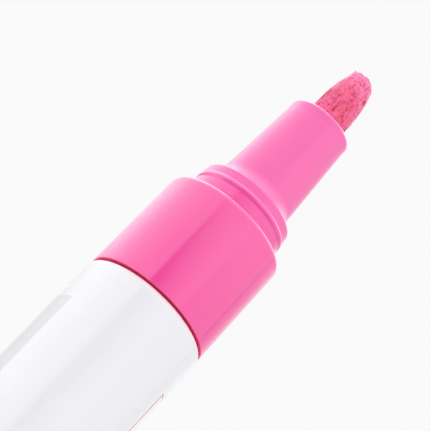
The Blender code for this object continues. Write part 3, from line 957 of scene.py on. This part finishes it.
# %% Valve
HOUSING = [
    (6.56, 118.5, 0.3), (6.56, 116.5, 0.3), (3.6, 116.5, 0.2), (3.6, 100.15, 0.1), (2.7, 100.15, 0.1),
    (2.7, 113.1), (1.5, 113.1), (1.5, 114.7, 0.15), (2.7, 114.7), (2.7, 118.5, 0.2),
]
SEAL = [(2.58, 112.95, 0.2), (2.58, 112.15, 0.2), (1.5, 112.15, 0.2), (1.5, 112.95, 0.2)]
STEM = [
    (0.0, 117.35), (1.25, 117.35, 0.25), (1.25, 112.0, 0.1), (2.2, 112.0, 0.25), (2.2, 110.8, 0.25),
    (0.8, 110.8, 0.1), (0.8, 100.2, 0.25), (0.0, 100.2),
]
RETAINER = [
    (2.58, 102.0, 0.2), (2.58, 100.0), (3.6, 100.0, 0.2), (3.6, 99.0, 0.2), (1.0, 99.0, 0.1),
    (1.0, 102.0, 0.1),
]
housing = lathe("housing_tube", HOUSING, natural, columns=96)
cut_round(housing, count=4, radius=3.15, low=103.5, high=109.15, size=(1.9, 1.7), square=True)
stem = lathe("stem_rod", STEM, natural, closed=False, columns=72)
cut_round(stem, count=4, radius=1.25, low=112.25, high=117.85, size=(0.9, 0.9))
seal = lathe("seat_ring", SEAL, rubber, columns=96)
retainer = lathe("retainer_plug", RETAINER, natural, columns=96)
dress(housing, "valve_housing", "case")
dress(stem, "valve_stem", "stem_body")
dress(seal, "seat_seal", "case")
dress(retainer, "valve_retainer", "case")

# %% [markdown]
# ### Spring
# A compression spring follows a rule: the wire goes round at one radius and climbs slowly in its end
# turns and faster between them. Geometry Nodes draws that rule on a straight line of points and sweeps
# the round wire along it.

# %% Spring
SPRING_BASE = 102.15
SPRING_LENGTH = 8.5
SPRING_TURNS = 6.5
COIL_RADIUS = 1.65
WIRE_RADIUS = 0.25
END_PITCH = 0.95
POINTS_PER_TURN = 28.0


def coil_tree():
    """Round wire on a helix that climbs by one pitch in its end turns and another between them."""
    inputs = {
        "Base": "Float", "Turns": "Float", "End Turns": "Float", "Coil Radius": "Float",
        "Wire Radius": "Float", "End Pitch": "Float", "Pitch": "Float", "Finish": "Material",
    }
    tree, wires, output = geometry_tree("coil_spring", inputs)
    line = first_output(tree, "GeometryNodeCurvePrimitiveLine")
    count = wires["Turns"] * POINTS_PER_TURN
    points = first_output(tree, "GeometryNodeResampleCurve", Curve=line, Count=count)
    turn = first_output(tree, "GeometryNodeSplineParameter") * wires["Turns"]
    low = turn.math("MINIMUM", wires["End Turns"])
    high = (turn - wires["Turns"] + wires["End Turns"]).math("MAXIMUM", 0.0)
    climb = (low + high) * wires["End Pitch"] + (turn - low - high) * wires["Pitch"]
    around = turn * math.tau
    spot = first_output(
        tree, "ShaderNodeCombineXYZ",
        X=around.math("COSINE") * wires["Coil Radius"],
        Y=around.math("SINE") * wires["Coil Radius"],
        Z=climb + wires["Base"] + wires["Wire Radius"],
    )
    coil = first_output(tree, "GeometryNodeSetPosition", Geometry=points, Position=spot)
    section = first_output(
        tree, "GeometryNodeCurvePrimitiveCircle", Resolution=12, Radius=wires["Wire Radius"]
    )
    wire = first_output(
        tree, "GeometryNodeCurveToMesh", Curve=coil, Profile_Curve=section, Scale=1.0, Fill_Caps=True
    )
    done = first_output(tree, "GeometryNodeSetShadeSmooth", Geometry=wire)
    end_tree(tree, done, wires["Finish"], output)
    return tree


spring = bpy.data.objects.new("spring_coil", bpy.data.meshes.new("spring_coil"))
bpy.context.scene.collection.objects.link(spring)
middle_pitch = (SPRING_LENGTH - 2 * WIRE_RADIUS - 2 * END_PITCH) / (SPRING_TURNS - 2)
run_tree(spring, coil_tree(), {
    "Base": SPRING_BASE * MM, "Turns": SPRING_TURNS, "End Turns": 1.0, "Coil Radius": COIL_RADIUS * MM,
    "Wire Radius": WIRE_RADIUS * MM, "End Pitch": END_PITCH * MM, "Pitch": middle_pitch * MM,
    "Finish": steel,
})
dress(spring, "valve_spring", "case")
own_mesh(spring)

# %% [markdown]
# ### Mixing balls
# Two steel balls stir the paint when the marker is shaken. A ball made from a cube, cut fine and pushed
# out to a sphere, has even faces and no poles, so its highlights stay clean.

# %% Mixing balls
BALL_RADIUS = 2.0 * MM
BALL_BESIDE_AXIS = 2.15 * MM
BALL_HEIGHT = 4.35 * MM
for number, side in ((1, 1), (2, -1)):
    centre = Vector((side * BALL_BESIDE_AXIS, 0.0, BALL_HEIGHT))
    shape = bmesh.new()
    bmesh.ops.create_cube(shape, size=1.0)
    bmesh.ops.subdivide_edges(shape, edges=shape.edges, cuts=15, use_grid_fill=True)
    for point in shape.verts:
        point.co = point.co.normalized() * BALL_RADIUS + centre
    ball = make_piece(f"ball_{number}", shape, steel)
    dress(ball, f"mixing_ball_{number}", f"ball_{number}_body")

# %% [markdown]
# ## Floor
# The marker stands on a plain pale floor, which keeps its soft shadow and fades to the white of the
# background further out, so that no horizon shows. A shader that mixes matt paint with a glow does it.

# %% Floor
BACKGROUND = 0.955
FLOOR_PALE = (0.73, 0.73, 0.73)
FLOOR_FLECK = (0.71, 0.71, 0.71)
FLOOR_FADES = (0.12, 0.75)
FLOOR_RADIUS = 6.0


def pale_floor():
    """Matt pale paint that fades to the background's white."""
    material = bpy.data.materials.new("pale_floor")
    material.use_nodes = True
    tree = material.node_tree
    matt = tree.nodes["Principled BSDF"]
    place = Wire(add_node(tree, "ShaderNodeTexCoord").outputs["Object"])
    distance = Wire(
        add_node(tree, "ShaderNodeVectorMath", {"operation": "LENGTH"}, {0: place}).outputs["Value"]
    )
    fleck = Wire(add_node(tree, "ShaderNodeTexNoise", None, {"Vector": place, "Scale": 60.0}).outputs[0])
    feed(matt.inputs["Base Color"], fleck.mix(plain(FLOOR_FLECK), plain(FLOOR_PALE)))
    feed(matt.inputs["Roughness"], fleck * 0.1 + 0.7)
    glow = add_node(
        tree, "ShaderNodeEmission", None, {"Color": plain((BACKGROUND,) * 3), "Strength": 1.0}
    )
    fade = add_node(tree, "ShaderNodeMixShader", None, {0: distance.step(*FLOOR_FADES)})
    feed(fade.inputs[1], Wire(matt.outputs[0]))
    feed(fade.inputs[2], Wire(glow.outputs[0]))
    feed(tree.nodes["Material Output"].inputs["Surface"], Wire(fade.outputs[0]))
    return material


shape = bmesh.new()
bmesh.ops.create_circle(shape, cap_ends=True, segments=64, radius=FLOOR_RADIUS)
floor = make_piece("floor", shape, pale_floor())
print("floor:", [round(value, 2) for value in floor.dimensions], "m")

# %% [markdown]
# ## Softboxes
# Gloss mirrors the room, so the soft bands along the barrel, the collar and the nozzle are pictures of
# softboxes: a bright one on the left, a softer one on the right, one overhead, and a dark gap between
# left and right. Lamps could be placed there. A rule in the world is simpler, because it takes only two
# angles: degrees to the right of the camera, and degrees above the floor. The barrel is straight, the
# collar tapers a little and the nozzle more, so each mirrors a higher part of the room than the last
# and can have bands of its own. A pair of angles says where a change starts and ends.

# %% Softboxes
LEFT_FOR_BARREL = [(-150.0, -105.0, 1.05), (-125.0, -85.0, 1.75)]
LEFT_FOR_COLLAR = [(-178.0, -110.0, 2.55)]
LEFT_NEAR_GAP = [(-100.0, -28.0, -0.72)]
RIGHT_FALLS = [
    (33.0, 40.0, -0.55), (60.0, 112.0, -0.70), (107.0, 110.5, -0.75),
    (111.5, 116.0, 0.30), (118.0, 124.0, -0.07), (150.0, 178.0, -0.40),
]
FOR_NOZZLE = [(-178.0, -105.0, 2.75), (-95.0, -20.0, -0.50), (5.0, 35.0, 0.30), (45.0, 150.0, -2.30)]
OVERHEAD = 3.4
OVERHEAD_FALLS = [(20.0, 80.0, -0.80)]
ABOVE_BARREL = (19.5, 21.5)
ABOVE_RIM = (22.1, 22.9)
GAP_CLOSES = (22.1, 23.7)
ABOVE_COLLAR = (22.8, 25.5)
CEILING = (30.0, 55.0)
GAP = (-33.0, -27.0)
RIGHT_STARTS = -22.0
RIGHT_STARTS_EARLIER = 20.0
RIGHT_FULL_AT = 34.0
RIGHT_FULL = 2.05


def rises(angle, rows):
    """Sum of smooth rises. A row says where a rise starts and ends, and how high it goes."""
    steps = [angle.step(start, end) * rise for start, end, rise in rows]
    return sum(steps[1:], steps[0])


def right_box(side, height, barrel):
    """The right softbox and the gap beside it, which closes further up."""
    closing = height.step(*GAP_CLOSES)
    start = RIGHT_STARTS - closing * RIGHT_STARTS_EARLIER
    inner = ((side - start) / (RIGHT_FULL_AT - start)).step(0.0, 1.0)
    light = inner.blend(closing * 0.4, closing * 0.2 + RIGHT_FULL) + rises(side, RIGHT_FALLS)
    wide_gap = (0.2 + side.step(-31.0, -21.0) * 0.3) * (1 - side.step(-21.0, -1.0))
    thin_gap = (1 - side.step(-25.0, -19.0)) * 0.9
    near_rim = (1 - barrel) * (1 - height.step(*ABOVE_RIM))
    deeper = near_rim * rises(side, [(-27.0, -18.0, 0.3), (-14.0, 4.0, -0.3)])
    return light - closing.blend(wide_gap, thin_gap) - deeper


def softboxes(side, height):
    """Light of the softboxes, by degrees to the right of the camera and degrees above the floor."""
    barrel = 1 - height.step(*ABOVE_BARREL)
    left = barrel.blend(rises(side, LEFT_FOR_COLLAR), rises(side, LEFT_FOR_BARREL))
    left = left + rises(side, LEFT_NEAR_GAP)
    low = side.step(*GAP).blend(left, right_box(side, height, barrel))
    walls = height.step(*ABOVE_COLLAR).blend(low, rises(side, FOR_NOZZLE))
    return height.step(*CEILING).blend(walls, rises(side, OVERHEAD_FALLS) + OVERHEAD)


print("softboxes: left, right and overhead")

# %% [markdown]
# ## Studio
# The world is the background's white with the softboxes in it. Reflections show them as they are. Matt
# surfaces get the same light at a plain level, at which a colour looks about as it is written, and it
# leans a little to the right. The camera itself sees only the white.

# %% Studio
LIGHT_ON_SURFACES = 0.385
LEAN_RIGHT = 0.06
WHITE = (1.0, 1.0, 1.0)


def studio():
    """World with softboxes for surfaces and reflections, and plain white for the camera."""
    world = bpy.data.worlds.new("studio")
    bpy.context.scene.world = world
    world.use_nodes = True
    tree = world.node_tree
    tree.nodes.clear()
    way = Wire(add_node(tree, "ShaderNodeTexCoord").outputs["Generated"])
    parts = add_node(tree, "ShaderNodeSeparateXYZ", None, {"Vector": way})
    x, y, z = (Wire(output) for output in parts.outputs)
    side = x.math("ARCTAN2", y * -1.0) * math.degrees(1.0)
    height = z.math("ARCSINE") * math.degrees(1.0)
    rays = add_node(tree, "ShaderNodeLightPath")
    seen = Wire(rays.outputs["Is Camera Ray"])
    mirrored = Wire(rays.outputs["Is Glossy Ray"]) + Wire(rays.outputs["Is Transmission Ray"])
    share = mirrored.blend((1 + x * LEAN_RIGHT) * LIGHT_ON_SURFACES, 1.0)
    level = (softboxes(side, height) + BACKGROUND) * share
    strength = seen * BACKGROUND + (1 - seen) * level
    back = add_node(tree, "ShaderNodeBackground", None, {"Strength": strength})
    feed(back.inputs["Color"], plain(WHITE))
    out = add_node(tree, "ShaderNodeOutputWorld")
    feed(out.inputs["Surface"], Wire(back.outputs[0]))


studio()
print("studio: level on surfaces", LIGHT_ON_SURFACES, "and white", BACKGROUND)
